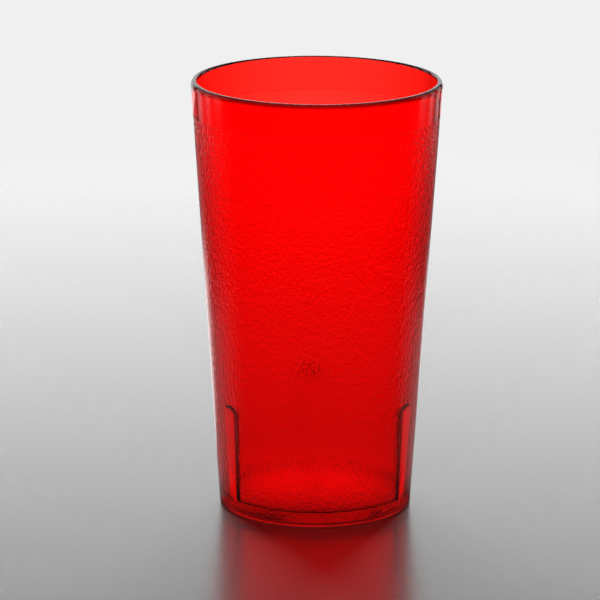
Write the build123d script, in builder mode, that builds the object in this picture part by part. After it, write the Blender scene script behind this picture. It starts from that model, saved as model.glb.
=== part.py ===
"""Pebbled drinking tumbler, moulded in one piece, with three stacking lugs inside."""

import os
from math import cos, radians, sqrt, tan

from build123d import *

# Body, in millimetres and degrees
height = 153.9
base_diameter = 68.2  # the outer wall's line carried down to the table
wall_taper = 3.78  # lean of each side from upright
wall = 2.1  # measured level, through the grained wall
floor_height = 5.0  # table to the inside of the bottom
floor_corner_radius = 1.0

# Smooth drinking band under the lip
band_height = 12.4
band_step = 0.18  # how far the band stands proud of the grained wall
lip_roundness = 0.48  # edge radius as a share of the lip's width, 0.5 being a full round

# Foot ring and underside
foot_radius = 1.0
foot_width = 3.6
foot_inner_radius = 0.5
recess_height = 1.3
dish_diameter = 8.0
dish_depth = 0.1
gate_diameter = 2.4
gate_height = 0.1

# Stacking lugs: slices of round-ended pins, on whose domes the next tumbler's foot comes to rest
lug_count = 3
lug_first_angle = 90.0
lug_radius = 4.0
lug_dome_radius = 3.0
lug_depth = 2.54  # how far a lug stands in from the wall, at the height of the next foot
lug_draft = 1.15
stack_clearance = 0.54  # between the walls of stacked tumblers

# Sizes that follow from the ones above
slope = tan(radians(wall_taper))
lip_radius = lip_roundness * (wall + band_step)
band_bottom = height - band_height
foot_inner = base_diameter / 2 - foot_width
nest_height = (wall + stack_clearance) / slope


def outer_radius(z):
    """Radius of the grained outer wall at height z."""
    return base_diameter / 2 + slope * z


def inner_radius(z):
    """Radius of the smooth inner wall at height z."""
    return outer_radius(z) - wall


# One lug: a leaning pin, whose dome touches the rounded corner of the next tumbler's foot
foot_centre = outer_radius(foot_radius) - foot_radius / cos(radians(wall_taper))
lug_nose = inner_radius(nest_height) - lug_depth
dome_to_foot = lug_dome_radius + foot_radius
dome_drop = sqrt(dome_to_foot**2 - (lug_nose + lug_dome_radius - foot_centre) ** 2)
lug_shoulder = nest_height + foot_radius - dome_drop
lug_rise = lug_shoulder - floor_height + floor_corner_radius

with BuildPart() as lug:
    with Locations(Location((lug_nose, 0, lug_shoulder), (0, lug_draft, 0))):
        with Locations((0, 0, lug_dome_radius)):
            Cylinder(
                radius=lug_radius,
                height=lug_rise + lug_dome_radius,
                align=(Align.MIN, Align.CENTER, Align.MAX),
            )
    fillet(lug.edges().filter_by(GeomType.CIRCLE).sort_by(Axis.Z)[-1], radius=lug_dome_radius)

# The hollow: a tapered core with a rounded lower corner, notched for the lugs
with BuildPart() as hollow:
    with BuildSketch(Plane.XZ) as hollow_profile:
        with BuildLine():
            Polyline(
                (0, floor_height),
                (inner_radius(floor_height), floor_height),
                (inner_radius(height), height),
                (0, height),
                close=True,
            )
        make_face()
        floor_corner = hollow_profile.vertices().group_by(Axis.Y)[0].sort_by(Axis.X)[-1]
        fillet(floor_corner, radius=floor_corner_radius)
    revolve(axis=Axis.Z)
    with PolarLocations(0, lug_count, start_angle=lug_first_angle):
        add(lug.part, mode=Mode.SUBTRACT)

# The tumbler: the turned outside with its foot ring and band, less the hollow
with BuildPart() as tumbler:
    with BuildSketch(Plane.XZ) as outside:
        with BuildLine():
            dish = TangentArc(
                (0, recess_height + dish_depth),
                (dish_diameter / 2, recess_height),
                tangent=(1, 0),
            )
            Polyline(
                dish @ 1,
                (foot_inner, recess_height),
                (foot_inner, 0),
                (base_diameter / 2, 0),
                (outer_radius(band_bottom), band_bottom),
                (outer_radius(band_bottom + band_step) + band_step, band_bottom + band_step),
                (outer_radius(height) + band_step, height),
                (0, height),
                dish @ 0,
            )
        make_face()
        foot_corners = outside.vertices().group_by(Axis.Y)[0].sort_by(Axis.X)
        fillet(foot_corners[0], radius=foot_inner_radius)
        fillet(foot_corners[-1], radius=foot_radius)
    revolve(axis=Axis.Z)
    with BuildSketch(Plane.XY.offset(recess_height + dish_depth - gate_height)):
        Circle(gate_diameter / 2)
    extrude(amount=gate_height + dish_depth)
    add(hollow.part, mode=Mode.SUBTRACT)
    fillet(tumbler.edges().group_by(Axis.Z)[-1], radius=lip_radius)

tumbler.part.label = "tumbler"
os.makedirs("parts", exist_ok=True)
export_step(tumbler.part, "parts/tumbler.step")
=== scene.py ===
"""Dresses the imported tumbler: pebbled see-through ruby plastic on a polished pale table."""

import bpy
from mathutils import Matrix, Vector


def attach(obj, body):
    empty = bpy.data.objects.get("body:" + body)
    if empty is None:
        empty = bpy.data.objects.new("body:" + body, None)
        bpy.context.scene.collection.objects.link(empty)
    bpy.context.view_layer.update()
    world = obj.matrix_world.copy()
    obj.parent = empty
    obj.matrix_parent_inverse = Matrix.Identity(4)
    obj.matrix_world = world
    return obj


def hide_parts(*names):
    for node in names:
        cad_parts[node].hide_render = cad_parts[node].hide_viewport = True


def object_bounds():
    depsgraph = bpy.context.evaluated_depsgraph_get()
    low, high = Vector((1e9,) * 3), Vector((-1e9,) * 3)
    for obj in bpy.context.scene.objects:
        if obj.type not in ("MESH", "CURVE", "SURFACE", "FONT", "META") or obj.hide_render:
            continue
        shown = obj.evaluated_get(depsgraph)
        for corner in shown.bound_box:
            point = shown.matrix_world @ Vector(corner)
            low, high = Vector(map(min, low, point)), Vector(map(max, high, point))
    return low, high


bl_info = {
    "name": "Pebbled Tumbler",
    "version": (1, 0, 0),
    "blender": (4, 5, 0),
    "location": "View3D > Sidebar > Tumbler",
    "description": "Builds a pebbled see-through drinking tumbler on its packed CAD frame",
    "category": "Add Mesh",
}

from math import atan2, cos, pi, radians, sin, sqrt, tan

import bpy
import numpy as np
from bpy.props import FloatProperty, FloatVectorProperty, IntProperty, PointerProperty
from mathutils import Matrix, Vector

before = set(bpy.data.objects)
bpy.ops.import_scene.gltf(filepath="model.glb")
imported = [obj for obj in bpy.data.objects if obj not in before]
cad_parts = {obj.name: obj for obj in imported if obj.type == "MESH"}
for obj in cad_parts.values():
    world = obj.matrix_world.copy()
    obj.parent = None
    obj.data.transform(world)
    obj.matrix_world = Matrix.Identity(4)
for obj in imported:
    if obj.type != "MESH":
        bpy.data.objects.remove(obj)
cad_low, cad_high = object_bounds()
NODE = "tumbler"
BODY = "root"

# Rows and columns of the mesh
TURN_STEPS = 290
LUG_COLUMNS = 33
LUG_MARGIN = 1.1  # the closer columns reach this many half widths of a lug
GRAIN_ROWS = 150
CORNER_ROWS = 5  # also of the dish
FOOT_ROWS = 7
PLAIN_FOOT_ROWS = 3  # rows of the foot below the grain
LIP_ROWS = 12
DOME_ROWS = 20
LUG_ROWS = 16
STAGE_SIDES = 96
SHARP_ANGLE = radians(50)

# Small shapes, in metres or as shares
PEBBLE_SEED = 7
PEBBLE_FADE = 0.0006  # the pebbles die out this close to the band
UNDERSIDE_GRAIN = 0.2  # the underside is nearly smooth
STEP_SHARE = 0.7  # share of the band's step that is sharp; the flare makes up the rest
STEP_ROW_BELOW, STEP_ROWS_ABOVE = 0.00006, (0.00017, 0.0006)  # close rows keep the step's shading narrow
GATE_FLAT, GATE_BEVEL = 0.85, 0.00006
RECESS_SHARE, RECESS_MARGIN = 0.6, 0.0004  # rows of the flat recess
UNDER_LIP, INSIDE_SHARES = 0.006, (0.7, 0.45)  # rows of the plain inside: below the lip, and of the height
ABOVE_LUG, DOME_SPAN, BELOW_DOME = (2, 1.4), (1.15, -0.15), -0.6  # rows from a lug's shoulder, in domes
FLOOR_SHARES = (0.93, 0.6, 0.3, 0)  # rows of the floor
LEAVING_GRAIN = 0.4  # share of the fine grain where light leaves the wall

# Light levels, where 1 is white. The tent is brightest at its foot, the world near the horizon.
TENT_LOW, TENT_HIGH = 1.79, 0.36
PALE_BACK = 0.87
WORLD_FADE, WORLD_TOP = (0.19, 0.41), 0.10
WORLD_ON_MATT = 0.05  # keeps the lamp's shadow clear
BOUNCES, DIFFUSE_BOUNCES, GLOSSY_BOUNCES = 32, 1, 24

# Tones of the table's mirror, of that mirror through the plastic, and of the tent through the plastic. The
# last two are painted light and shade: the table's mirror is painted brighter, and the tent painted dimmer,
# where seen through the plastic
TABLE_TINT, PAINTED_CLEAR_TABLE_TINT, PAINTED_CLEAR_TINT = 0.50, 0.78, 0.69
TABLE_HAZE = 0.26
# The table's own matt tone, then painted shade: the matt table seen through both walls is darker
MATT_TONE, PAINTED_CROSSED_MATT = 0.7, 0.2
SHALLOW = (0.3, 0.68)  # from steep to shallow, the table turns from matt to mirror
MIRROR_SHARE = (0.1, 0.9)
STEEP_GLOW = 0.4
# Painted pool of light under the tumbler's floor, seen only through the plastic: its glow, the distances
# over which it fades, and its middle
PAINTED_FLOOR_GLOW, PAINTED_FLOOR_GLOW_RANGE, PAINTED_FLOOR_GLOW_CENTRE = 0.96, (0.008, 0.05), (0, 0.021, 0)
BEYOND = 0.7  # share of the tent's radius at which the table starts to turn into the backdrop
TABLE_DROP = 0.00005

# Passes that tell a ray through both walls from one, and bounces that tell a ray guided along a wall
BOTH_WALLS, GUIDED = (3.2, 3.8), (5.2, 5.8)
# Painted shade: level of the gaps for light guided along a wall after it has crossed both walls
PAINTED_CROSSED_GUIDED = 0.2
# Painted light: the tent is painted brighter where the table mirrors it through both walls
PAINTED_MIRRORED_CLEAR = 1.45  # lifts the tent where the table mirrors it through both walls

# Sectors of the studio: each pair is the share of a level direction that points to the back, and a level.
# The backdrop and light boxes are painted reflections, and the gaps and the table behind are painted shade
# and light
BACK = (-0.05, 0.9987, 0.0)
PAINTED_BACKDROP = ((0.85, 0.0), (0.91, 1.0))
PAINTED_LIGHT_BOXES = ((0.15, 0.0), (0.20, 0.5), (0.33, 0.5), (0.36, 0.15), (0.45, 0.15), (0.48, 0.8),
               (0.56, 0.8), (0.59, 0.2), (0.67, 0.2), (0.70, 1.0), (0.79, 1.0), (0.82, 0.0))
NEAR_TABLE = ((0.0, 0.15), (0.15, 0.6), (0.4, 0.8), (0.5, 1.0))
PAINTED_DARK_GAPS = ((0.92, 0.15), (0.98, 1.0))
PAINTED_MILD_GAPS = ((0.70, 1.0), (0.76, 0.75), (0.90, 0.75), (0.96, 1.0))
PAINTED_GUIDED_SIDES = ((0.86, 0.2), (0.92, 1.0))
# Painted shade and light: the matt table seen through one wall is darker at the front and sides, brighter
# behind
PAINTED_MATT_BEHIND = ((0.5, PAINTED_CROSSED_MATT), (0.8, 1.0))

# Painted reflections, which sharp reflections in the plastic find in place of any lamp: levels of the
# backdrop, the light boxes and the dark top, and rings painted on the table, each with the distances
# between which it fades, its levels there and its sectors
PAINTED_MIRRORED_BACKDROP, PAINTED_MIRRORED_BOXES, PAINTED_MIRRORED_TOP = 1.0, 0.57, 0.1
PAINTED_MIRRORED_TOP_FADE = (0.5, 0.65)
PAINTED_MIRRORED_RINGS = ((0.28, 0.42, 1.05, 0.12, PAINTED_BACKDROP),
                  (0.20, 0.32, 0.22, 0.05, NEAR_TABLE),
                  (0.46, 0.64, 0.0, 0.57, PAINTED_LIGHT_BOXES))

# Settings that several nodes share
TIMES = {"operation": "MULTIPLY"}
PLUS = {"operation": "ADD"}
SMOOTH = {"interpolation_type": "SMOOTHSTEP"}


def linear(hex_colour):
    """Linear RGB of an sRGB colour written as a hex string."""
    channels = np.array([int(hex_colour[i:i + 2], 16) for i in (1, 3, 5)]) / 255
    return np.where(channels > 0.04045, ((channels + 0.055) / 1.055) ** 2.4, channels / 12.92)


class TumblerSizes(bpy.types.PropertyGroup):
    """Sizes of the moulded body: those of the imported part, with a finer lip and band edge."""

    height: FloatProperty(
        name="Height", description="Table to lip", default=cad_high.z, unit="LENGTH")
    base_radius: FloatProperty(
        name="Base radius", description="Outer wall's line carried down to the table",
        default=0.0341, unit="LENGTH")
    wall_taper: FloatProperty(
        name="Wall taper", description="Lean of each side from upright",
        default=radians(3.78), subtype="ANGLE")
    wall: FloatProperty(
        name="Wall", description="Wall measured level", default=0.0021, unit="LENGTH")
    floor_height: FloatProperty(
        name="Floor height", description="Table to the inside of the bottom",
        default=0.005, unit="LENGTH")
    floor_corner: FloatProperty(
        name="Floor corner", description="Radius inside, where the wall meets the floor",
        default=0.001, unit="LENGTH")
    band_height: FloatProperty(
        name="Band height", description="Smooth band from the lip down",
        default=0.0124, unit="LENGTH")
    band_step: FloatProperty(
        name="Band step", description="How far the band stands proud of the grained wall",
        default=0.00018, unit="LENGTH")
    band_flare: FloatProperty(
        name="Band flare", description="Height below the band over which the wall swells to meet it",
        default=0.004, unit="LENGTH")
    lip_outer_width: FloatProperty(
        name="Lip outer width", description="Width of the rounding on the lip's outer edge",
        default=0.0012, unit="LENGTH")
    lip_outer_drop: FloatProperty(
        name="Lip outer drop", description="Height of that rounding", default=0.0018, unit="LENGTH")
    lip_inner_width: FloatProperty(
        name="Lip inner width", description="Width of the rounding on the lip's inner edge",
        default=0.0006, unit="LENGTH")
    lip_inner_drop: FloatProperty(
        name="Lip inner drop", description="Height of that rounding", default=0.0014, unit="LENGTH")
    foot_radius: FloatProperty(
        name="Foot radius", description="Rounding of the outer bottom corner",
        default=0.001, unit="LENGTH")
    foot_width: FloatProperty(
        name="Foot width", description="Width of the ring it stands on",
        default=0.0036, unit="LENGTH")
    foot_inner: FloatProperty(
        name="Foot inner radius", description="Rounding of the ring's inner corner",
        default=0.0005, unit="LENGTH")
    recess: FloatProperty(
        name="Recess", description="Height of the underside above the table",
        default=0.0013, unit="LENGTH")
    dish_radius: FloatProperty(
        name="Dish radius", description="Shallow dish round the moulding gate",
        default=0.004, unit="LENGTH")
    dish_depth: FloatProperty(
        name="Dish depth", description="Depth of that dish", default=0.0001, unit="LENGTH")
    gate_radius: FloatProperty(
        name="Gate radius", description="Stub left by the moulding gate",
        default=0.0012, unit="LENGTH")
    gate_height: FloatProperty(
        name="Gate height", description="Height of that stub", default=0.0001, unit="LENGTH")
    lug_count: IntProperty(
        name="Lugs", description="Stacking lugs round the inside", default=3)
    lug_first_angle: FloatProperty(
        name="First lug", description="Angle of the first lug from +X",
        default=radians(90), subtype="ANGLE")
    lug_radius: FloatProperty(
        name="Lug radius", description="Radius of the round pin that each lug is a slice of",
        default=0.004, unit="LENGTH")
    lug_dome: FloatProperty(
        name="Lug dome", description="Rounding of the pin's upper end", default=0.003, unit="LENGTH")
    lug_depth: FloatProperty(
        name="Lug depth",
        description="How far a lug stands in from the wall, at the height of the next foot",
        default=0.00254, unit="LENGTH")
    lug_draft: FloatProperty(
        name="Lug draft", description="Lean of the pin from upright",
        default=radians(1.15), subtype="ANGLE")
    stack_clearance: FloatProperty(
        name="Stack clearance", description="Gap between the walls of stacked tumblers",
        default=0.00054, unit="LENGTH")
    lug_root: FloatProperty(
        name="Lug root", description="Softness of the crease between lug and wall",
        default=0.00015, unit="LENGTH", precision=5)


class GrainSizes(bpy.types.PropertyGroup):
    """Sizes of the moulded pebble grain."""

    pebble_width: FloatProperty(
        name="Pebble width", description="Width of a pebble round the wall",
        default=0.0030, unit="LENGTH")
    pebble_height: FloatProperty(
        name="Pebble height", description="Height of a pebble up the wall",
        default=0.0018, unit="LENGTH")
    pebble_depth: FloatProperty(
        name="Pebble depth", description="Valley to crown of a pebble",
        default=0.00002, unit="LENGTH", precision=6)
    crease_width: FloatProperty(
        name="Crease width", description="Width of the fine creases, round the wall",
        default=0.0020, unit="LENGTH")
    crease_height: FloatProperty(
        name="Crease height", description="Height of the fine creases, up the wall",
        default=0.00072, unit="LENGTH", precision=5)
    crease_depth: FloatProperty(
        name="Crease depth", description="Depth of those creases",
        default=0.00007, unit="LENGTH", precision=6)
    ripple_width: FloatProperty(
        name="Ripple width", description="Width of the upright ripples, round the wall",
        default=0.0009, unit="LENGTH", precision=5)
    ripple_height: FloatProperty(
        name="Ripple height", description="Height of the upright ripples, up the wall",
        default=0.0018, unit="LENGTH")
    ripple_depth: FloatProperty(
        name="Ripple depth", description="Depth of those ripples",
        default=0.00016, unit="LENGTH", precision=6)


class PlasticLook(bpy.types.PropertyGroup):
    """Looks of the plastic."""

    wall_colour: FloatVectorProperty(
        name="Wall colour", description="White light after one pass through the wall",
        default=linear("#FD3128"), subtype="COLOR", size=3)
    ior: FloatProperty(name="IOR", description="Index of refraction", default=1.57)


class StudioSizes(bpy.types.PropertyGroup):
    """Sizes of the table, the light tent and the lamp, and the camera's place."""

    table_radius: FloatProperty(
        name="Table radius", description="Round table that everything stands on",
        default=6, unit="LENGTH")
    tent_radius: FloatProperty(
        name="Tent radius", description="Lit wall round the object, from the middle",
        default=0.63, unit="LENGTH")
    tent_height: FloatProperty(
        name="Tent height", description="Height of the lit wall", default=0.36, unit="LENGTH")
    fade_height: FloatProperty(
        name="Fade height", description="Height over which the lit wall fades",
        default=0.33, unit="LENGTH")
    lamp_width: FloatProperty(
        name="Lamp width", description="Width of the soft lamp at the back",
        default=3.1, unit="LENGTH")
    lamp_rise: FloatProperty(
        name="Lamp rise", description="Height of that lamp's panel", default=0.6, unit="LENGTH")
    lamp_distance: FloatProperty(
        name="Lamp distance", description="That lamp from the axis", default=3.0, unit="LENGTH")
    lamp_height: FloatProperty(
        name="Lamp height", description="Middle of that lamp above the table",
        default=0.9, unit="LENGTH")
    lamp_power: FloatProperty(
        name="Lamp power", description="Power of that lamp", default=480, unit="POWER")
    eye_distance: FloatProperty(
        name="Eye distance", description="Camera from the tumbler's axis",
        default=1.4, unit="LENGTH")
    eye_height: FloatProperty(
        name="Eye height", description="Camera above the table", default=0.4387, unit="LENGTH")
    eye_turn: FloatProperty(
        name="Eye turn", description="Camera's turn round the axis, from the front",
        default=radians(-3), subtype="ANGLE")
    eye_roll: FloatProperty(
        name="Eye roll", description="Camera's roll", default=radians(0.212), subtype="ANGLE")
    aim: FloatVectorProperty(
        name="Aim", description="Point in the middle of the picture",
        default=(-0.00566, -0.00048, 0.07419), subtype="TRANSLATION", unit="LENGTH", size=3)
    lens: FloatProperty(
        name="Lens", description="Focal length in millimetres", default=244.2)
    sensor: FloatProperty(
        name="Sensor", description="Width of the camera's sensor in millimetres", default=36)


def arc(centre, radius, start, end, count):
    """Points (r, z) on a circle round centre, from angle start to end in radians."""
    angles = np.linspace(start, end, count)
    return np.stack([centre[0] + radius * np.cos(angles), centre[1] + radius * np.sin(angles)], axis=1)


def mesh_columns(sizes):
    """Turn angles of the mesh columns: even all round, and closer across each lug."""
    half = LUG_MARGIN * sizes.lug_radius / (sizes.base_radius - sizes.wall)
    lug = np.linspace(-half, half, LUG_COLUMNS)
    gap = 2 * pi / sizes.lug_count
    free = gap - 2 * half
    count = max(3, round(TURN_STEPS * free / (2 * pi)))
    between = half + free * np.arange(1, count) / count
    one = np.concatenate([lug, between])
    return (sizes.lug_first_angle + np.arange(sizes.lug_count)[:, None] * gap + one[None, :]).ravel()


def lug_place(sizes):
    """Radius of a lug's nose and height of its shoulder: the dome above the shoulder touches the
    rounded corner of the next tumbler's foot, which stands clear of the wall all round."""
    slope = tan(sizes.wall_taper)
    nest_height = (sizes.wall + sizes.stack_clearance) / slope
    nose = sizes.base_radius - sizes.wall + slope * nest_height - sizes.lug_depth
    foot_centre = sizes.base_radius + slope * sizes.foot_radius - sizes.foot_radius / cos(sizes.wall_taper)
    reach = sizes.lug_dome + sizes.foot_radius
    drop = sqrt(reach ** 2 - (nose + sizes.lug_dome - foot_centre) ** 2)
    return nose, nest_height + sizes.foot_radius - drop


def lug_depth(sizes, radius, height, across):
    """How far a lug stands in from a wall at this radius: each lug is a slice of a leaning pin,
    whose round section shrinks along a quarter circle above the shoulder. Negative off the pin."""
    nose, shoulder = lug_place(sizes)
    above = np.clip(height - shoulder, 0, sizes.lug_dome)
    section = sizes.lug_radius - sizes.lug_dome + np.sqrt(sizes.lug_dome ** 2 - above ** 2)
    section = np.where(above < sizes.lug_dome, section, 0)
    middle = nose + (height - shoulder) * tan(sizes.lug_draft) + sizes.lug_radius
    chord = np.sqrt(np.clip(section ** 2 - across ** 2, 0, None))
    return np.where(across < section, radius - middle + chord, -sizes.lug_radius)


def pebbles(turn, height, around, up):
    """Rounded cells on the wall: one minus the squared distance to the nearest of a set of
    scattered points, one point to each cell of a grid that closes on itself round the wall."""
    random = np.random.default_rng(PEBBLE_SEED)
    u = np.mod(turn / (2 * pi), 1) * around
    v = height / up
    layers = int(v.max()) + 4
    scatter = random.random((layers, around, 2))
    column, layer = np.floor(u).astype(int), np.floor(v).astype(int)
    nearest = np.full(u.shape, np.inf)
    for step_u in (-1, 0, 1):
        for step_v in (-1, 0, 1):
            point = scatter[layer + step_v + 1, (column + step_u) % around]
            off_u = column + step_u + point[..., 0] - u
            off_v = layer + step_v + point[..., 1] - v
            nearest = np.minimum(nearest, off_u ** 2 + off_v ** 2)
    return 1 - np.minimum(nearest, 1)


def underside_run(sizes):
    """Points (r, z) of the underside, from the gate's stub across a dish, which is a shallow circle,
    and the flat recess to the foot ring's inner corner."""
    foot_in = sizes.base_radius - sizes.foot_width
    dish_top = sizes.recess + sizes.dish_depth
    gate_z = dish_top - sizes.gate_height
    dish_curve = (sizes.dish_radius ** 2 + sizes.dish_depth ** 2) / (2 * sizes.dish_depth)
    dish_r = np.linspace(sizes.gate_radius, sizes.dish_radius, CORNER_ROWS)
    dish_z = dish_top - dish_curve + np.sqrt(dish_curve ** 2 - dish_r ** 2)
    return np.concatenate([
        [(0, gate_z), (sizes.gate_radius * GATE_FLAT, gate_z), (sizes.gate_radius, gate_z + GATE_BEVEL)],
        np.stack([dish_r, dish_z], axis=1),
        [(r, sizes.recess) for r in (foot_in * RECESS_SHARE, foot_in - RECESS_MARGIN, foot_in)],
        arc((foot_in + sizes.foot_inner, sizes.foot_inner), sizes.foot_inner, pi, 1.5 * pi, CORNER_ROWS),
    ])


def lip_edge(sizes, wall_radius, side, width, drop):
    """Points (r, z) of a quarter ellipse that touches the leaning line of a wall, whose radius is
    given at the ellipse's middle height, and ends level at the top of the lip."""
    lean = drop * tan(sizes.wall_taper)
    reach = sqrt(width ** 2 + lean ** 2)
    touch = -side * atan2(lean, width)
    angle = np.linspace(touch, pi / 2, LIP_ROWS)
    r = wall_radius + side * (width * np.cos(angle) - reach)
    return np.stack([r, sizes.height - drop + drop * np.sin(angle)], axis=1)


def body_outline(sizes):
    """Half section of the tumbler as named runs of points (r, z), from the middle of the underside,
    up the outside, over the lip and down the inside to the middle of the floor. Walls are straight
    lines that lean by the taper, and corners are circles that touch them."""
    taper, base, top = sizes.wall_taper, sizes.base_radius, sizes.height
    slope = tan(taper)
    band_bottom = top - sizes.band_height

    def outer(z):
        return base + slope * z

    def inner(z):
        return base - sizes.wall + slope * z

    foot_centre = base + slope * sizes.foot_radius - sizes.foot_radius / cos(taper)
    foot = arc((foot_centre, sizes.foot_radius), sizes.foot_radius, -pi / 2, -taper, FOOT_ROWS)

    # The wall swells towards the band along a smooth step, then meets it at a small sharp one
    grain_z = np.linspace(foot[-1, 1], band_bottom, GRAIN_ROWS)[1:]
    grain_z = np.append(grain_z[:-1], [band_bottom - STEP_ROW_BELOW, band_bottom])
    flare = np.clip((grain_z - band_bottom + sizes.band_flare) / sizes.band_flare, 0, 1)
    flare = (1 - STEP_SHARE) * sizes.band_step * flare ** 2 * (3 - 2 * flare)
    band_z = band_bottom + np.array([STEP_SHARE * sizes.band_step, *STEP_ROWS_ABOVE])
    band_z = np.append(band_z, top - 2 * sizes.lip_outer_drop)

    outer_middle, inner_middle = outer(top - sizes.lip_outer_drop), inner(top - sizes.lip_inner_drop)
    lip_outer = lip_edge(sizes, outer_middle, 1, sizes.lip_outer_width, sizes.lip_outer_drop)
    lip_inner = lip_edge(sizes, inner_middle, -1, sizes.lip_inner_width, sizes.lip_inner_drop)

    shoulder, dome = lug_place(sizes)[1], sizes.lug_dome
    inside_z = np.concatenate([
        [top - UNDER_LIP],
        top * np.array(INSIDE_SHARES),
        shoulder + dome * np.array(ABOVE_LUG),
        np.linspace(shoulder + dome * DOME_SPAN[0], shoulder + dome * DOME_SPAN[1], DOME_ROWS),
        np.linspace(shoulder + dome * BELOW_DOME, sizes.floor_height + 2 * sizes.floor_corner, LUG_ROWS),
    ])
    corner_z = sizes.floor_height + sizes.floor_corner
    corner_r = inner(corner_z) - sizes.floor_corner / cos(taper)
    return {
        "underside": underside_run(sizes),
        "foot": foot,
        "grained": np.stack([outer(grain_z) + flare, grain_z], axis=1),
        "band": np.stack([outer(band_z) + sizes.band_step, band_z], axis=1),
        "lip": np.concatenate([lip_outer + (sizes.band_step, 0), lip_inner[::-1]]),
        "inside": np.stack([inner(inside_z), inside_z], axis=1),
        "corner": arc((corner_r, corner_z), sizes.floor_corner, -taper, -pi / 2, CORNER_ROWS),
        "floor": np.array([(share * corner_r, sizes.floor_height) for share in FLOOR_SHARES]),
    }


def body_surface(sizes, grain):
    """Closed skin of the tumbler as a grid: each row is a point of the half section, each column a
    turn angle. Pebbles move the grained rows in and out about their mean, and lugs move the inner
    rows towards the axis. Also gives the share of fine grain on each row."""
    runs = body_outline(sizes)
    ends = np.cumsum([len(run) for run in runs.values()])
    rows = {name: slice(end - len(run), end) for (name, run), end in zip(runs.items(), ends)}
    outline = np.concatenate(list(runs.values()))
    turn = mesh_columns(sizes)
    radius = np.repeat(outline[:, :1], len(turn), axis=1)
    height = np.repeat(outline[:, 1:], len(turn), axis=1)

    grained = rows["grained"]
    middle_radius = sizes.base_radius + tan(sizes.wall_taper) * sizes.height / 2
    around = round(2 * pi * middle_radius / grain.pebble_width)
    raised = pebbles(np.broadcast_to(turn, height[grained].shape), height[grained],
                     around, grain.pebble_height)
    fade = np.minimum(1, (sizes.height - sizes.band_height - height[grained]) / PEBBLE_FADE)
    radius[grained] += (raised - raised.mean()) * grain.pebble_depth * fade

    inside = slice(rows["inside"].start, rows["corner"].stop)
    lug_gap = 2 * pi / sizes.lug_count
    from_lug = np.mod(turn - sizes.lug_first_angle + lug_gap / 2, lug_gap) - lug_gap / 2
    across = np.abs(np.sin(from_lug)) * radius[inside]
    depth = lug_depth(sizes, radius[inside], height[inside], across)
    radius[inside] -= (depth + np.sqrt(depth ** 2 + sizes.lug_root ** 2)) / 2

    share = np.zeros(len(outline))
    share[rows["underside"]] = UNDERSIDE_GRAIN
    share[rows["foot"].start + PLAIN_FOOT_ROWS:grained.stop] = 1
    return turn, radius, height, share


def skin_mesh(name, turn, radius, height, share):
    """Mesh of a closed grid: x, y and z are the radius turned round Z and the height. The first
    and last rows are single points, joined to their neighbours by triangles."""
    rows, columns = radius.shape
    ring = np.stack([radius * np.cos(turn), radius * np.sin(turn), height], axis=2)[1:-1]
    poles = np.array([[0, 0, height[0, 0]], [0, 0, height[-1, 0]]])
    points = np.concatenate([ring.reshape(-1, 3), poles])
    index = np.arange((rows - 2) * columns).reshape(rows - 2, columns)
    ahead = np.roll(index, -1, axis=1)
    quads = np.stack([index[:-1], ahead[:-1], ahead[1:], index[1:]], axis=2).reshape(-1, 4)
    first_pole, last_pole = len(points) - 2, len(points) - 1
    low = np.stack([np.full(columns, first_pole), ahead[0], index[0]], axis=1)
    high = np.stack([np.full(columns, last_pole), index[-1], ahead[-1]], axis=1)
    corners = np.concatenate([quads.ravel(), low.ravel(), high.ravel()])
    counts = np.concatenate([np.full(len(quads), 4), np.full(2 * columns, 3)])
    starts = np.concatenate([[0], np.cumsum(counts)[:-1]])
    mesh = bpy.data.meshes.new(name)
    mesh.vertices.add(len(points))
    mesh.vertices.foreach_set("co", points.astype(np.float32).ravel())
    mesh.loops.add(len(corners))
    mesh.loops.foreach_set("vertex_index", corners.astype(np.int32))
    mesh.polygons.add(len(starts))
    mesh.polygons.foreach_set("loop_start", starts.astype(np.int32))
    mesh.update(calc_edges=True)
    mesh.validate()
    mesh.shade_smooth()
    mesh.set_sharp_from_angle(angle=SHARP_ANGLE)
    grained = mesh.attributes.new("grain", "FLOAT", "POINT")
    values = np.concatenate([np.repeat(share[1:-1], columns), [share[0], share[-1]]])
    grained.data.foreach_set("value", values.astype(np.float32))
    return mesh


def add(tree, kind, settings=(), links=()):
    """Adds one node, sets its properties, input values and grey stops, and links its inputs."""
    node = tree.nodes.new(kind)
    for key, value in dict(settings).items():
        if key == "stops":
            stops = node.color_ramp.elements
            while len(stops) < len(value):
                stops.new(0.5)
            for stop, (place, level) in zip(stops, value):
                stop.position = place
                stop.color = (level, level, level, 1)
        elif isinstance(key, str) and hasattr(node, key):
            setattr(node, key, value)
        else:
            node.inputs[key].default_value = value
    for key, source in dict(links).items():
        tree.links.new(source, node.inputs[key])
    return node


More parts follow.
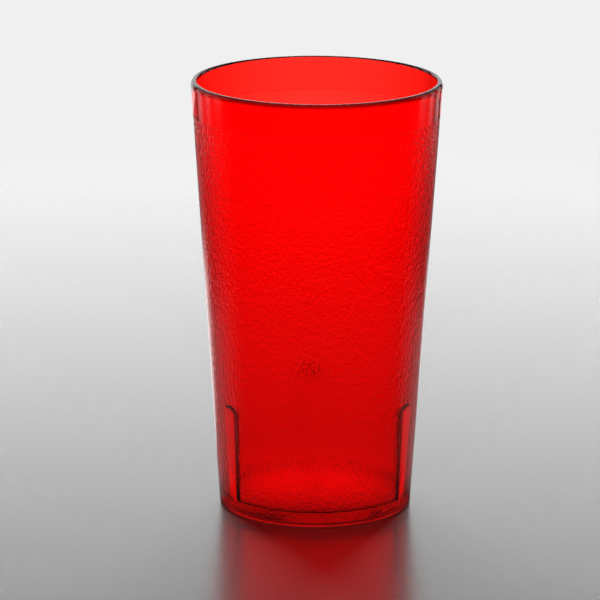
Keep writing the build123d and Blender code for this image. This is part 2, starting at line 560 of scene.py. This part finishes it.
def ruby_plastic(look, sizes, grain):
    """Moulded styrene acrylonitrile, dyed through: clear red whose depth grows with the path
    through the wall, glossy, with fine creases and ripples on the grained outside, which break up
    what is seen through it."""
    material = bpy.data.materials.new("dyed_styrene_acrylonitrile")
    material.use_nodes = True
    tree = material.node_tree
    tree.nodes.clear()
    place = add(tree, "ShaderNodeTexCoord")
    levels = []
    for width, height, depth in ((grain.crease_width, grain.crease_height, grain.crease_depth),
                                 (grain.ripple_width, grain.ripple_height, grain.ripple_depth)):
        stretch = add(tree, "ShaderNodeMapping", {"Scale": (1 / width, 1 / width, 1 / height)},
                      {"Vector": place.outputs["Object"]})
        folds = add(tree, "ShaderNodeTexNoise",
                    {"Scale": 1.0, "Detail": 1.0, "Roughness": 0.5, "Distortion": 0.4},
                    {"Vector": stretch.outputs["Vector"]})
        level = add(tree, "ShaderNodeMapRange",
                    {"clamp": False, "To Min": -depth / 2, "To Max": depth / 2},
                    {"Value": folds.outputs["Fac"]})
        levels.append(level.outputs["Result"])
    relief = add(tree, "ShaderNodeMath", PLUS, {0: levels[0], 1: levels[1]})

    # The grain is fainter where light leaves the wall, so that it doesn't show twice
    on_wall = add(tree, "ShaderNodeAttribute", {"attribute_name": "grain"})
    side = add(tree, "ShaderNodeNewGeometry")
    leaving = add(tree, "ShaderNodeMapRange", {"To Min": 1.0, "To Max": LEAVING_GRAIN},
                  {"Value": side.outputs["Backfacing"]})
    for factor in (on_wall.outputs["Fac"], leaving.outputs["Result"]):
        relief = add(tree, "ShaderNodeMath", TIMES, {0: relief.outputs["Value"], 1: factor})
    bump = add(tree, "ShaderNodeBump", {"Strength": 1.0, "Distance": 1.0},
               {"Height": relief.outputs["Value"]})
    surface = add(tree, "ShaderNodeBsdfPrincipled",
                  {"Base Color": (1, 1, 1, 1), "Transmission Weight": 1.0, "IOR": look.ior,
                   "Roughness": 0.0},
                  {"Normal": bump.outputs["Normal"]})
    absorbed = -np.log(np.clip(np.array(look.wall_colour), 1e-4, 0.9999)) / sizes.wall
    density = absorbed.max()
    dye = add(tree, "ShaderNodeVolumeAbsorption",
              {"Color": (*(1 - absorbed / density), 1), "Density": density})
    add(tree, "ShaderNodeOutputMaterial", (),
        {"Surface": surface.outputs["BSDF"], "Volume": dye.outputs["Volume"]})
    return material


class TUMBLER_OT_body(bpy.types.Operator):
    """Builds the tumbler's skin with its pebbles and lugs, and gives it its plastic"""

    bl_idname = "tumbler.body"
    bl_label = "Tumbler Body"

    def execute(self, context):
        scene = context.scene
        grid = body_surface(scene.tumbler_sizes, scene.tumbler_grain)
        mesh = skin_mesh("tumbler_body", *grid)
        mesh.materials.append(ruby_plastic(scene.tumbler_plastic, scene.tumbler_sizes, scene.tumbler_grain))
        body = bpy.data.objects.new("tumbler_body", mesh)
        scene.collection.objects.link(body)
        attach(body, BODY)
        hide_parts(NODE)
        return {"FINISHED"}


def towards_back(tree, direction):
    """Share of a level direction that points to the back of the studio."""
    flat = add(tree, "ShaderNodeVectorMath", {"operation": "MULTIPLY", 1: (1, 1, 0)}, {0: direction})
    unit = add(tree, "ShaderNodeVectorMath", {"operation": "NORMALIZE"}, {0: flat.outputs["Vector"]})
    share = add(tree, "ShaderNodeVectorMath", {"operation": "DOT_PRODUCT", 1: BACK},
                {0: unit.outputs["Vector"]})
    return share.outputs["Value"]


def painted_studio_reflection(tree, back):
    """Painted reflection that a sharp reflection finds low down, in a level direction: the backdrop behind
    and the light boxes at its sides, which are no lamps."""
    boxes = add(tree, "ShaderNodeValToRGB", {"stops": PAINTED_LIGHT_BOXES}, {"Fac": back})
    dimmed = add(tree, "ShaderNodeMath", {**TIMES, 1: PAINTED_MIRRORED_BOXES}, {0: boxes.outputs["Color"]})
    behind = add(tree, "ShaderNodeValToRGB", {"stops": PAINTED_BACKDROP}, {"Fac": back})
    sides = add(tree, "ShaderNodeMath", {"operation": "MULTIPLY_ADD", 1: PAINTED_MIRRORED_BACKDROP},
                {0: behind.outputs["Color"], 2: dimmed.outputs["Value"]})
    return sides.outputs["Value"]


def sharp_view(tree, path, light, mirrored):
    """Light for any ray but a sharp reflection in the plastic, which finds the painted reflection instead.
    """
    sharp = add(tree, "ShaderNodeMath", TIMES,
                {0: path.outputs["Is Singular Ray"], 1: path.outputs["Is Reflection Ray"]})
    seen = add(tree, "ShaderNodeMapRange", (),
               {"Value": sharp.outputs["Value"], "To Min": light, "To Max": mirrored})
    return seen.outputs["Result"]


def table_top(sizes):
    """Polished pale acrylic: mirrors the tent at a shallow angle with a slight haze, pale from above. A
    reflection in the plastic sees on it a painted reflection of the backdrop and light boxes, and light
    that comes through the tumbler's floor finds a painted pool of light under it. Seen through the plastic,
    its tones are painted brighter or darker."""
    material = bpy.data.materials.new("polished_acrylic_table_with_painted_light")
    material.use_nodes = True
    material.cycles.emission_sampling = "NONE"
    tree = material.node_tree
    tree.nodes.clear()
    path = add(tree, "ShaderNodeLightPath")
    place = add(tree, "ShaderNodeTexCoord")
    away = add(tree, "ShaderNodeVectorMath", {"operation": "LENGTH"}, {0: place.outputs["Object"]})
    back = towards_back(tree, place.outputs["Object"])

    # Mirror at a shallow angle, matt and paler from above. Seen through the plastic, the mirror is painted
    # brighter, and the matt part is painted darker at the front and sides and through both walls, brighter
    # behind
    tone = add(tree, "ShaderNodeMapRange", {"To Min": TABLE_TINT, "To Max": PAINTED_CLEAR_TABLE_TINT},
               {"Value": path.outputs["Is Transmission Ray"]})
    mirror = add(tree, "ShaderNodeBsdfGlossy", {"Roughness": TABLE_HAZE}, {"Color": tone.outputs["Result"]})
    behind = add(tree, "ShaderNodeValToRGB", {"stops": PAINTED_MATT_BEHIND}, {"Fac": back})
    crossed = add(tree, "ShaderNodeMapRange",
                  {"From Min": BOTH_WALLS[0], "From Max": BOTH_WALLS[1], "To Max": PAINTED_CROSSED_MATT},
                  {"Value": path.outputs["Transmission Depth"], "To Min": behind.outputs["Color"]})
    matt_tone = add(tree, "ShaderNodeMapRange", {"To Min": MATT_TONE},
                    {"Value": path.outputs["Is Transmission Ray"], "To Max": crossed.outputs["Result"]})
    pale = add(tree, "ShaderNodeBsdfDiffuse", (), {"Color": matt_tone.outputs["Result"]})
    facing = add(tree, "ShaderNodeLayerWeight", {"Blend": 0.5})
    gloss = add(tree, "ShaderNodeMapRange",
                {**SMOOTH, "From Min": SHALLOW[0], "From Max": SHALLOW[1],
                 "To Min": MIRROR_SHARE[0], "To Max": MIRROR_SHARE[1]},
                {"Value": facing.outputs["Facing"]})
    steep = add(tree, "ShaderNodeMapRange",
                {**SMOOTH, "From Min": SHALLOW[0], "From Max": SHALLOW[1],
                 "To Min": STEEP_GLOW, "To Max": 0.0},
                {"Value": facing.outputs["Facing"]})
    steep_seen = add(tree, "ShaderNodeMath", TIMES,
                     {0: steep.outputs["Result"], 1: path.outputs["Is Camera Ray"]})
    paler = add(tree, "ShaderNodeEmission", (), {"Strength": steep_seen.outputs["Value"]})
    matt = add(tree, "ShaderNodeAddShader", (), {0: pale.outputs["BSDF"], 1: paler.outputs["Emission"]})
    plain = add(tree, "ShaderNodeMixShader", (),
                {0: gloss.outputs["Result"], 1: matt.outputs["Shader"], 2: mirror.outputs["BSDF"]})

    # Painted reflection: a reflection in the plastic finds glowing rings painted on the table in place of
    # its own shading
    levels = []
    for near, far, low, high, sectors in PAINTED_MIRRORED_RINGS:
        reach = add(tree, "ShaderNodeMapRange",
                    {**SMOOTH, "From Min": near, "From Max": far, "To Min": low, "To Max": high},
                    {"Value": away.outputs["Value"]})
        sector = add(tree, "ShaderNodeValToRGB", {"stops": sectors}, {"Fac": back})
        level = add(tree, "ShaderNodeMath", TIMES,
                    {0: reach.outputs["Result"], 1: sector.outputs["Color"]})
        levels.append(level.outputs["Value"])
    painted_ring_light = levels[0]
    for level in levels[1:]:
        painted_ring_light = add(tree, "ShaderNodeMath", PLUS, {0: painted_ring_light, 1: level}).outputs["Value"]
    glow = add(tree, "ShaderNodeEmission", (), {"Strength": painted_ring_light})
    seen = add(tree, "ShaderNodeMixShader", (),
               {0: path.outputs["Is Reflection Ray"], 1: plain.outputs["Shader"],
                2: glow.outputs["Emission"]})

    # Painted pool of light: a glowing patch on the table under the tumbler's floor, found only by light
    # that comes through the plastic
    middle = add(tree, "ShaderNodeVectorMath", {"operation": "DISTANCE", 1: PAINTED_FLOOR_GLOW_CENTRE},
                 {0: place.outputs["Object"]})
    under = add(tree, "ShaderNodeMapRange",
                {**SMOOTH, "From Min": PAINTED_FLOOR_GLOW_RANGE[0], "From Max": PAINTED_FLOOR_GLOW_RANGE[1],
                 "To Min": 1.0, "To Max": 0.0},
                {"Value": middle.outputs["Value"]})
    through = add(tree, "ShaderNodeMath", TIMES,
                  {0: under.outputs["Result"], 1: path.outputs["Is Transmission Ray"]})
    painted_patch = add(tree, "ShaderNodeEmission", {"Strength": PAINTED_FLOOR_GLOW})
    with_painted_patch = add(tree, "ShaderNodeMixShader", (),
                  {0: through.outputs["Value"], 1: seen.outputs["Shader"], 2: painted_patch.outputs["Emission"]})

    # Far off, the table turns into the pale backdrop
    beyond = add(tree, "ShaderNodeMapRange",
                 {**SMOOTH, "From Min": BEYOND * sizes.tent_radius, "From Max": sizes.tent_radius},
                 {"Value": away.outputs["Value"]})
    beyond_seen = add(tree, "ShaderNodeMath", TIMES,
                      {0: beyond.outputs["Result"], 1: path.outputs["Is Camera Ray"]})
    backdrop = add(tree, "ShaderNodeEmission", {"Strength": PALE_BACK})
    whole = add(tree, "ShaderNodeMixShader", (),
                {0: beyond_seen.outputs["Value"], 1: with_painted_patch.outputs["Shader"],
                 2: backdrop.outputs["Emission"]})
    add(tree, "ShaderNodeOutputMaterial", (), {"Surface": whole.outputs["Shader"]})
    return material


def tent_cloth(sizes):
    """White cloth that glows, brightest at the foot, as the backdrop that the plastic shows. Light that has
    come through the plastic finds painted shade, a dark gap on each side of the backdrop; a sharp
    reflection finds only the painted reflection of the backdrop and light boxes."""
    material = bpy.data.materials.new("glowing_cloth_with_painted_light")
    material.use_nodes = True
    material.cycles.emission_sampling = "NONE"
    tree = material.node_tree
    tree.nodes.clear()
    path = add(tree, "ShaderNodeLightPath")
    place = add(tree, "ShaderNodeTexCoord")
    parts = add(tree, "ShaderNodeSeparateXYZ", (), {"Vector": place.outputs["Object"]})
    glow = add(tree, "ShaderNodeMapRange",
               {**SMOOTH, "From Max": sizes.fade_height, "To Min": TENT_LOW, "To Max": TENT_HIGH},
               {"Value": parts.outputs["Z"]})

    # Painted shade: gaps beside the backdrop, which only light through the plastic finds, for light through
    # one wall, both walls, or guided along a wall
    back = towards_back(tree, place.outputs["Object"])
    painted_dark_gaps = add(tree, "ShaderNodeValToRGB", {"stops": PAINTED_DARK_GAPS}, {"Fac": back})
    painted_mild_gaps = add(tree, "ShaderNodeValToRGB", {"stops": PAINTED_MILD_GAPS}, {"Fac": back})
    painted_guided_sides = add(tree, "ShaderNodeValToRGB", {"stops": PAINTED_GUIDED_SIDES}, {"Fac": back})
    crossed = add(tree, "ShaderNodeMapRange", {"From Min": BOTH_WALLS[0], "From Max": BOTH_WALLS[1]},
                  {"Value": path.outputs["Transmission Depth"]})
    plain = add(tree, "ShaderNodeMapRange", (),
                {"Value": crossed.outputs["Result"], "To Min": painted_dark_gaps.outputs["Color"],
                 "To Max": painted_mild_gaps.outputs["Color"]})
    sides = add(tree, "ShaderNodeMapRange", {"To Max": PAINTED_CROSSED_GUIDED},
                {"Value": crossed.outputs["Result"], "To Min": painted_guided_sides.outputs["Color"]})
    guided = add(tree, "ShaderNodeMapRange", {"From Min": GUIDED[0], "From Max": GUIDED[1]},
                 {"Value": path.outputs["Ray Depth"], "To Min": plain.outputs["Result"],
                  "To Max": sides.outputs["Result"]})
    painted_pass_shade = add(tree, "ShaderNodeMapRange", {"To Min": 1.0},
                 {"Value": path.outputs["Transmission Depth"], "To Max": guided.outputs["Result"]})

    # The tumbler mirrored in the table, and the tent seen straight through it: painted light lifts the tent
    # where the table mirrors it through both walls, and painted shade dims it where it is seen straight
    # through the plastic
    mirrored = add(tree, "ShaderNodeMath", {**TIMES, "use_clamp": True},
                   {0: path.outputs["Glossy Depth"], 1: crossed.outputs["Result"]})
    unmirrored = add(tree, "ShaderNodeMath", {"operation": "SUBTRACT", "use_clamp": True},
                     {0: path.outputs["Is Transmission Ray"], 1: mirrored.outputs["Value"]})
    straight = add(tree, "ShaderNodeMapRange", {"To Min": 1.0, "To Max": PAINTED_CLEAR_TINT},
                   {"Value": unmirrored.outputs["Value"]})
    mirrored_clear = add(tree, "ShaderNodeMath", TIMES,
                         {0: mirrored.outputs["Value"], 1: path.outputs["Is Transmission Ray"]})
    painted_lift = add(tree, "ShaderNodeMapRange", {"To Min": 1.0, "To Max": PAINTED_MIRRORED_CLEAR},
                 {"Value": mirrored_clear.outputs["Value"]})
    light = glow.outputs["Result"]
    for factor in (painted_pass_shade, straight, painted_lift):
        light = add(tree, "ShaderNodeMath", TIMES,
                    {0: light, 1: factor.outputs["Result"]}).outputs["Value"]
    shine = add(tree, "ShaderNodeEmission", (),
                {"Strength": sharp_view(tree, path, light, painted_studio_reflection(tree, back))})
    add(tree, "ShaderNodeOutputMaterial", (), {"Surface": shine.outputs["Emission"]})
    return material


def studio_world():
    """Pale studio beyond the tent: bright low all round, fading to dark overhead. A sharp reflection in the
    plastic finds a painted reflection of the backdrop, the light boxes and a dark top instead.
    """
    world = bpy.data.worlds.new("pale_studio_with_painted_reflections")
    world.use_nodes = True
    world.cycles.sampling_method = "NONE"
    tree = world.node_tree
    tree.nodes.clear()
    path = add(tree, "ShaderNodeLightPath")
    place = add(tree, "ShaderNodeTexCoord")
    parts = add(tree, "ShaderNodeSeparateXYZ", (), {"Vector": place.outputs["Generated"]})
    rise = add(tree, "ShaderNodeMath", {"operation": "ABSOLUTE"}, {0: parts.outputs["Z"]})
    glow = add(tree, "ShaderNodeMapRange",
               {**SMOOTH, "From Min": WORLD_FADE[0], "From Max": WORLD_FADE[1],
                "To Min": TENT_LOW, "To Max": WORLD_TOP},
               {"Value": rise.outputs["Value"]})
    direct = add(tree, "ShaderNodeMapRange", {"To Min": 1.0, "To Max": PALE_BACK / TENT_LOW},
                 {"Value": path.outputs["Is Camera Ray"]})
    matt = add(tree, "ShaderNodeMapRange", {"To Min": 1.0, "To Max": WORLD_ON_MATT},
               {"Value": path.outputs["Is Diffuse Ray"]})
    light = glow.outputs["Result"]
    for factor in (direct, matt):
        light = add(tree, "ShaderNodeMath", TIMES,
                    {0: light, 1: factor.outputs["Result"]}).outputs["Value"]
    back = towards_back(tree, place.outputs["Generated"])
    # Painted reflection: sharp reflections in the plastic find the backdrop and light boxes low down, dark
    # overhead
    mirrored = add(tree, "ShaderNodeMapRange",
                   {**SMOOTH, "From Min": PAINTED_MIRRORED_TOP_FADE[0], "From Max": PAINTED_MIRRORED_TOP_FADE[1],
                    "To Max": PAINTED_MIRRORED_TOP},
                   {"Value": parts.outputs["Z"], "To Min": painted_studio_reflection(tree, back)})
    shine = add(tree, "ShaderNodeBackground", (),
                {"Strength": sharp_view(tree, path, light, mirrored.outputs["Result"])})
    add(tree, "ShaderNodeOutputWorld", (), {"Surface": shine.outputs["Background"]})
    return world


def stage_mesh(scene, name, rings, material):
    """Object made of a stack of rings, each given by its radius and height; a single ring is filled."""
    turn = np.linspace(0, 2 * pi, STAGE_SIDES, endpoint=False)
    points = np.concatenate([
        np.stack([radius * np.cos(turn), radius * np.sin(turn), np.full(STAGE_SIDES, height)], axis=1)
        for radius, height in rings])
    index = np.arange(STAGE_SIDES)
    ahead = np.roll(index, -1)
    faces = [index.tolist()]
    if len(rings) > 1:
        faces = np.stack([index, index + STAGE_SIDES, ahead + STAGE_SIDES, ahead], axis=1).tolist()
    mesh = bpy.data.meshes.new(name)
    mesh.from_pydata(points.tolist(), [], faces)
    mesh.materials.append(material)
    piece = bpy.data.objects.new(name, mesh)
    scene.collection.objects.link(piece)
    return piece


def stage_lamp(scene, sizes):
    """Soft lamp at the back that lights the table and throws the shadow forwards."""
    light = bpy.data.lights.new("backlight", "AREA")
    light.shape = "RECTANGLE"
    light.size = sizes.lamp_width
    light.size_y = sizes.lamp_rise
    light.energy = sizes.lamp_power
    lamp = bpy.data.objects.new("backlight", light)
    lamp.location = (0, sizes.lamp_distance, sizes.lamp_height)
    lamp.rotation_euler = (-lamp.location).to_track_quat("-Z", "Y").to_euler()
    lamp.visible_glossy = False
    lamp.visible_transmission = False
    lamp.visible_camera = False
    scene.collection.objects.link(lamp)


def stage_camera(scene, sizes):
    """Camera at the eye's place, turned to the aim and rolled."""
    data = bpy.data.cameras.new("camera")
    data.sensor_width = sizes.sensor
    data.lens = sizes.lens
    eye = Vector((sin(sizes.eye_turn) * sizes.eye_distance, -cos(sizes.eye_turn) * sizes.eye_distance,
                  sizes.eye_height))
    facing = (Vector(sizes.aim) - eye).to_track_quat("-Z", "Y").to_matrix()
    roll = Matrix.Rotation(sizes.eye_roll, 3, "Z")
    camera = bpy.data.objects.new("camera", data)
    camera.matrix_world = Matrix.Translation(eye) @ (facing @ roll).to_4x4()
    scene.collection.objects.link(camera)
    scene.camera = camera


class TUMBLER_OT_stage(bpy.types.Operator):
    """Adds the table, the light tent, the lamp and the camera"""

    bl_idname = "tumbler.stage"
    bl_label = "Tumbler Stage"

    def execute(self, context):
        scene = context.scene
        sizes = scene.tumbler_studio
        stage_mesh(scene, "table", [(sizes.table_radius, -TABLE_DROP)], table_top(sizes))
        tent = stage_mesh(scene, "light_tent",
                          [(sizes.tent_radius, 0), (sizes.tent_radius, sizes.tent_height)],
                          tent_cloth(sizes))
        tent.visible_camera = False
        tent.visible_diffuse = False
        tent.visible_shadow = False
        scene.world = studio_world()
        stage_lamp(scene, sizes)
        stage_camera(scene, sizes)
        scene.view_settings.view_transform = "Standard"
        scene.cycles.max_bounces = BOUNCES
        scene.cycles.diffuse_bounces = DIFFUSE_BOUNCES
        scene.cycles.glossy_bounces = GLOSSY_BOUNCES
        scene.cycles.transmission_bounces = BOUNCES
        return {"FINISHED"}


class TUMBLER_PT_panel(bpy.types.Panel):
    """Lists the tumbler's builders in the sidebar"""

    bl_idname = "TUMBLER_PT_panel"
    bl_label = "Tumbler"
    bl_space_type = "VIEW_3D"
    bl_region_type = "UI"
    bl_category = "Tumbler"

    def draw(self, context):
        self.layout.operator(TUMBLER_OT_body.bl_idname)
        self.layout.operator(TUMBLER_OT_stage.bl_idname)


CLASSES = (TumblerSizes, GrainSizes, PlasticLook, StudioSizes,
           TUMBLER_OT_body, TUMBLER_OT_stage, TUMBLER_PT_panel)


def register():
    for cls in CLASSES:
        bpy.utils.register_class(cls)
    bpy.types.Scene.tumbler_sizes = PointerProperty(type=TumblerSizes)
    bpy.types.Scene.tumbler_grain = PointerProperty(type=GrainSizes)
    bpy.types.Scene.tumbler_plastic = PointerProperty(type=PlasticLook)
    bpy.types.Scene.tumbler_studio = PointerProperty(type=StudioSizes)


def unregister():
    del bpy.types.Scene.tumbler_studio
    del bpy.types.Scene.tumbler_plastic
    del bpy.types.Scene.tumbler_grain
    del bpy.types.Scene.tumbler_sizes
    for cls in reversed(CLASSES):
        bpy.utils.unregister_class(cls)


def main():
    register()
    bpy.ops.tumbler.body()
    bpy.ops.tumbler.stage()


if __name__ == "__main__":
    main()
